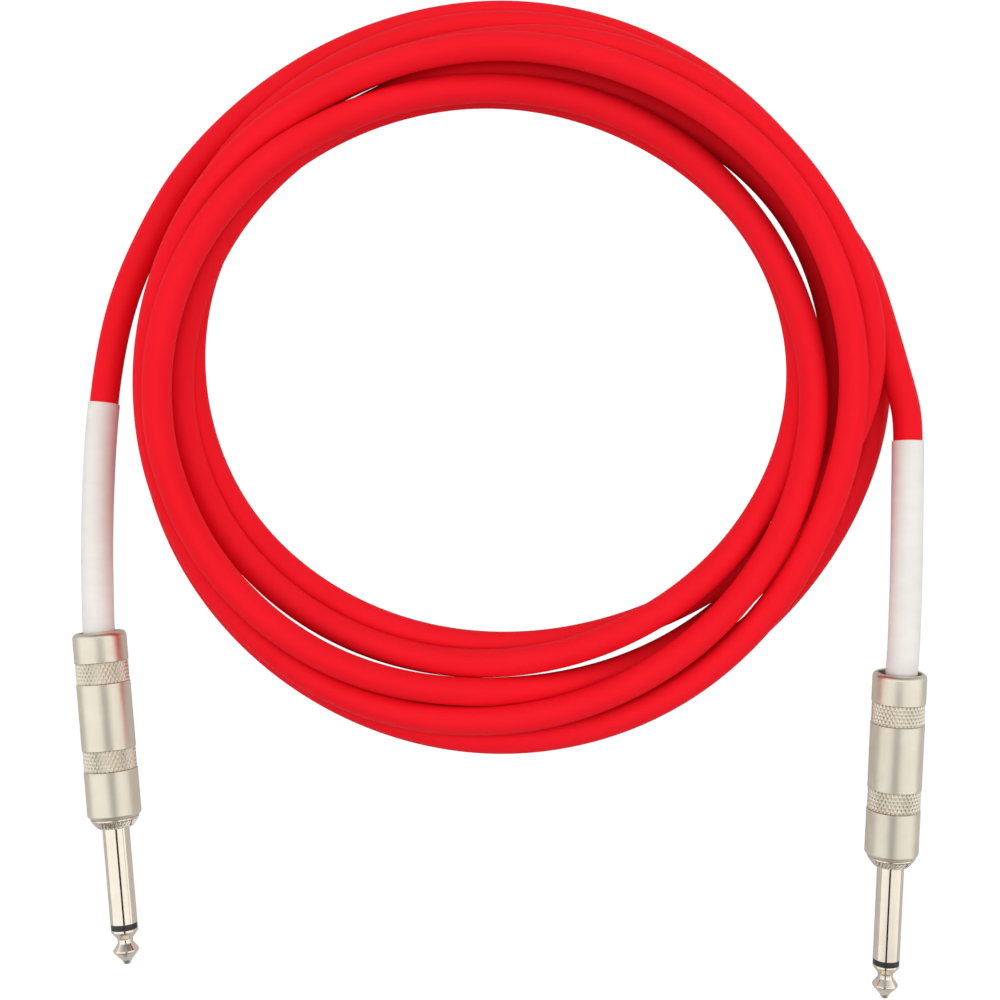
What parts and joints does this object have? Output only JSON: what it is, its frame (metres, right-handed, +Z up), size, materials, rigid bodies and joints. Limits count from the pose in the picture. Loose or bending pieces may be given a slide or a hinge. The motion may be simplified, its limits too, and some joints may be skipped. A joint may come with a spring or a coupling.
{
  "type": "instrument cable",
  "caption": "Coiled audio cable with a red jacket, white heat shrink sleeves and a straight satin metal 6.35 mm plug at each end.",
  "frame": {"origin": "on the floor, midway between the two plugs: the middle of the box round both plugs and their sleeves", "axes": "+Z up from the floor the cable lies on, +X from plug a to plug b, +Y from the plugs towards the coil"},
  "size_m": [0.2037, 0.2406, 0.028],
  "materials": {
    "red_jacket": "soft satin PVC cable jacket",
    "white_shrink": "matte heat-shrink tube",
    "satin_nickel": "satin warm nickel plate, knurled bands",
    "polished_nickel": "polished warm nickel plate",
    "liner_black": "thin insulating tube",
    "insulator_ivory": "moulded insulating tube",
    "insulator_black": "moulded ring",
    "fibre_washer": "pressed fibre",
    "terminal_brass": "stamped brass",
    "clamp_tinplate": "stamped tinned steel",
    "core_insulation": "extruded polyethylene",
    "bare_copper": "twisted bare copper strands",
    "solder": "solder fillet"
  },
  "bodies": {
    "cable": {"cable_coil": "red_jacket", "cable_lead_a": "red_jacket", "cable_lead_b": "red_jacket", "collar_a": "polished_nickel", "sleeve_contact_a": "polished_nickel", "rod_insulator_a": "insulator_ivory", "tip_ring_a": "insulator_black", "tip_contact_a": "polished_nickel", "rear_washer_a": "fibre_washer", "tip_terminal_a": "terminal_brass", "ground_clamp_a": "clamp_tinplate", "core_wire_a": "core_insulation", "core_strands_a": "bare_copper", "shield_pigtail_a": "bare_copper", "solder_tip_a": "solder", "solder_ground_a": "solder", "heat_shrink_a": "white_shrink", "collar_b": "polished_nickel", "sleeve_contact_b": "polished_nickel", "rod_insulator_b": "insulator_ivory", "tip_ring_b": "insulator_black", "tip_contact_b": "polished_nickel", "rear_washer_b": "fibre_washer", "tip_terminal_b": "terminal_brass", "ground_clamp_b": "clamp_tinplate", "core_wire_b": "core_insulation", "core_strands_b": "bare_copper", "shield_pigtail_b": "bare_copper", "solder_tip_b": "solder", "solder_ground_b": "solder", "heat_shrink_b": "white_shrink"},
    "liner_a": {"barrel_liner_a": "liner_black"},
    "barrel_a": {"barrel_a": "satin_nickel"},
    "liner_b": {"barrel_liner_b": "liner_black"},
    "barrel_b": {"barrel_b": "satin_nickel"}
  },
  "joints": [
    {"name": "barrel_a_draw_back", "type": "slide", "parent": "cable", "child": "liner_a", "axis": [-0.0854, 0.9963, 0], "range_m": [0, 0.0048]},
    {"name": "barrel_a_unscrew", "type": "hinge", "parent": "liner_a", "child": "barrel_a", "pos_m": [-0.09449, -0.00313, 0.00635], "axis": [-0.0854, 0.9963, 0], "range_deg": [0, 2160]},
    {"name": "barrel_b_draw_back", "type": "slide", "parent": "cable", "child": "liner_b", "axis": [0.0243, 0.9951, 0.0958], "range_m": [0, 0.0048]},
    {"name": "barrel_b_unscrew", "type": "hinge", "parent": "liner_b", "child": "barrel_b", "pos_m": [0.09446, -0.0124, 0.00859], "axis": [0.0243, 0.9951, 0.0958], "range_deg": [0, 2160]}
  ],
  "couplings": [
    {"joint": "barrel_a_draw_back", "follows": "barrel_a_unscrew", "m_per_rad": 0.00012732},
    {"joint": "barrel_b_draw_back", "follows": "barrel_b_unscrew", "m_per_rad": 0.00012732}
  ]
}
